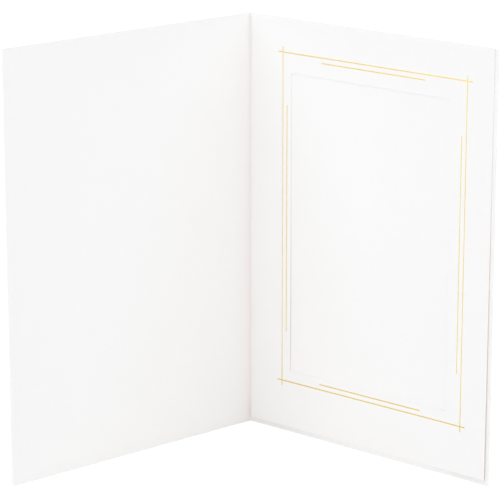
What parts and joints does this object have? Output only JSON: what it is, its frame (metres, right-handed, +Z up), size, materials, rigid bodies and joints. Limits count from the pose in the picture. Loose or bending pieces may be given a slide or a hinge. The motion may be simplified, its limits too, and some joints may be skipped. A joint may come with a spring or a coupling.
{
  "type": "photo folder",
  "caption": "Card photo folder that stands open in a V, with a plain cover and a windowed mat ruled in gold foil over a slip-in pocket for a print.",
  "frame": {"origin": "middle of the open folder's outline, on the surface that it stands on", "axes": "+X along the frame leaf from the spine to its outer edge, +Y out of the back panel, away from the reader, +Z up along the spine"},
  "size_m": [0.1574, 0.1356, 0.1937],
  "materials": {
    "card": "smooth matte white card",
    "foil": "hot-stamped satin gold foil",
    "glue": "dried translucent adhesive"
  },
  "bodies": {
    "frame_leaf": {"back_panel": "card", "spine_fold": "card", "top_fold": "card", "mat_frame": "card", "spine_glue_strip": "glue", "bottom_glue_strip": "glue", "border_foil": "foil", "accent_foil_top": "foil", "accent_foil_bottom": "foil", "accent_foil_left": "foil", "accent_foil_right": "foil"},
    "cover": {"cover_panel": "card"}
  },
  "joints": [
    {"name": "spine_hinge", "type": "hinge", "parent": "frame_leaf", "child": "cover", "pos_m": [-0.05779, 0.06709, 0], "axis": [0, 0, -1], "range_deg": [-98.5, 81.5], "deforming": ["spine_fold"]}
  ]
}
